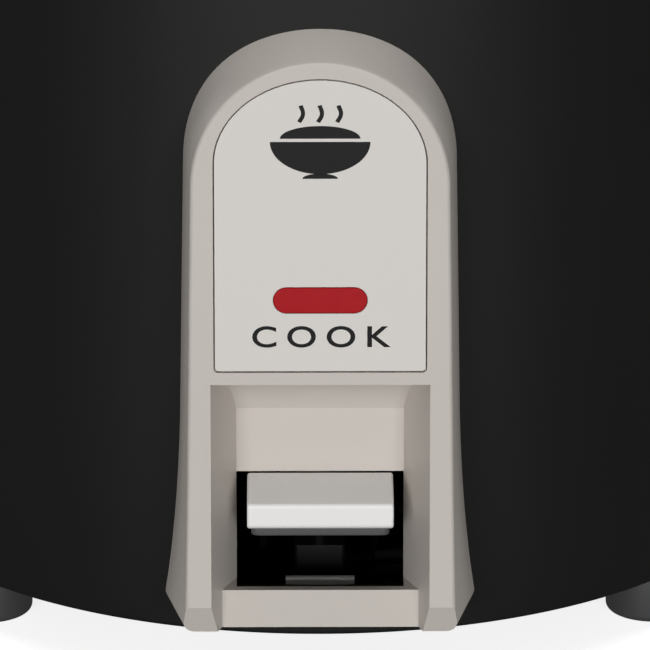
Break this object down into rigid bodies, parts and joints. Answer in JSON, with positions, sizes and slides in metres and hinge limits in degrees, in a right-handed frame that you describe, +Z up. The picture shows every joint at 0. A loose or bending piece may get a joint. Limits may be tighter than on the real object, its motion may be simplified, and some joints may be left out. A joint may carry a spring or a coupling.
{
  "type": "rice cooker",
  "caption": "Small one-lever electric rice cooker: painted can on feet, arched front switch housing, side handles, rear inlet, heater and magnetic thermostat, lift-out pan, glass lid.",
  "frame": {"origin": "on the table, below the can's axis, at the centre of the overall footprint", "axes": "+Z up, -Y out of the front switch housing, +X to the viewer's right across the handles"},
  "size_m": [0.232, 0.1936, 0.2],
  "materials": {
    "black_paint": "matt black paint on steel",
    "warm_grey_plastic": "fine matt moulding",
    "off_white_plate": "satin printed plate",
    "red_lens": "clear red moulding",
    "white_plastic": "satin white moulding",
    "grey_foot": "grey moulding",
    "dark_grey_plastic": "dark grey moulding",
    "black_plastic": "black moulding",
    "stainless": "stainless steel",
    "zinc_steel": "zinc plated steel",
    "dark_steel": "black passivated steel",
    "aluminium": "cast aluminium",
    "pan_metal": "drawn, anodised aluminium",
    "element_sheath": "heat-darkened steel tube",
    "ferrite_black": "sintered ferrite",
    "glass": "clear tempered glass",
    "lamp_glass": "neon lamp glass",
    "brass": "brass, nickel plated",
    "lead_black": "black silicone insulation"
  },
  "bodies": {
    "cooker": {"body_shell": "black_paint", "bottom_plate": "black_paint", "foot_front_left": "grey_foot", "foot_front_right": "grey_foot", "foot_rear_left": "grey_foot", "foot_rear_right": "grey_foot", "foot_screws": "zinc_steel", "foot_nuts": "zinc_steel", "liner_supports": "zinc_steel", "base_screws": "zinc_steel", "top_ring": "stainless", "inner_liner": "zinc_steel", "heater_plate": "aluminium", "heating_element": "element_sheath", "heater_spacers": "zinc_steel", "heater_screws": "zinc_steel", "sensor_spring": "zinc_steel", "sensor_bracket": "zinc_steel", "bracket_screws": "zinc_steel", "drop_spring": "zinc_steel", "pivot_pin": "dark_steel", "pivot_bracket": "dark_steel", "slot_guard": "dark_steel", "switch_body": "black_plastic", "front_housing": "warm_grey_plastic", "label_plate": "off_white_plate", "indicator_lens": "red_lens", "indicator_lamp": "lamp_glass", "lamp_holder": "white_plastic", "housing_screws": "zinc_steel", "handle_left": "black_plastic", "handle_right": "black_plastic", "handle_screws": "zinc_steel", "inlet_housing": "black_plastic", "inlet_pins": "brass", "inlet_screws": "zinc_steel", "thermal_fuse": "aluminium", "fuse_clip": "zinc_steel", "clip_screw": "zinc_steel", "mains_leads": "lead_black", "lamp_leads": "lead_black"},
    "pan": {"inner_pan": "pan_metal"},
    "lid": {"lid_glass": "glass", "lid_rim": "stainless", "knob_skirt": "black_plastic", "lid_knob": "black_plastic", "knob_screw": "stainless", "vent_grommet": "stainless"},
    "lever": {"lever_knob": "white_plastic", "lever_insert": "dark_grey_plastic", "lever_arm": "dark_steel"},
    "magnet_carrier": {"magnet": "ferrite_black", "magnet_holder": "zinc_steel"},
    "sensor": {"sensor_cap": "aluminium", "sensor_ferrite": "ferrite_black"},
    "plunger": {"switch_plunger": "black_plastic"}
  },
  "joints": [
    {"name": "pan_lift", "type": "slide", "parent": "cooker", "child": "pan", "axis": [0, 0, 1], "range_m": [0, 0.12]},
    {"name": "lid_lift", "type": "slide", "parent": "pan", "child": "lid", "axis": [0, 0, 1], "range_m": [0, 0.1]},
    {"name": "cook_lever", "type": "hinge", "parent": "cooker", "child": "lever", "pos_m": [0, -0.04, 0.022], "axis": [1, 0, 0], "range_deg": [0, 9.5], "stiffness_Nm_per_rad": 0.4, "springref_deg": -14.32},
    {"name": "magnet_rise", "type": "slide", "parent": "cooker", "child": "magnet_carrier", "axis": [0, 0, 1], "range_m": [0, 0.0069], "deforming": ["drop_spring"]},
    {"name": "plunger_drop", "type": "slide", "parent": "cooker", "child": "plunger", "axis": [0, 0, 1], "range_m": [-0.0036, 0]},
    {"name": "sensor_rise", "type": "slide", "parent": "cooker", "child": "sensor", "axis": [0, 0, 1], "range_m": [0, 0.0015], "deforming": ["sensor_spring"]}
  ],
  "couplings": [
    {"joint": "magnet_rise", "follows": "cook_lever", "m_per_rad": 0.041},
    {"joint": "plunger_drop", "follows": "cook_lever", "m_per_rad": -0.0215},
    {"joint": "sensor_rise", "follows": "pan_lift", "ratio": 0.0125}
  ]
}
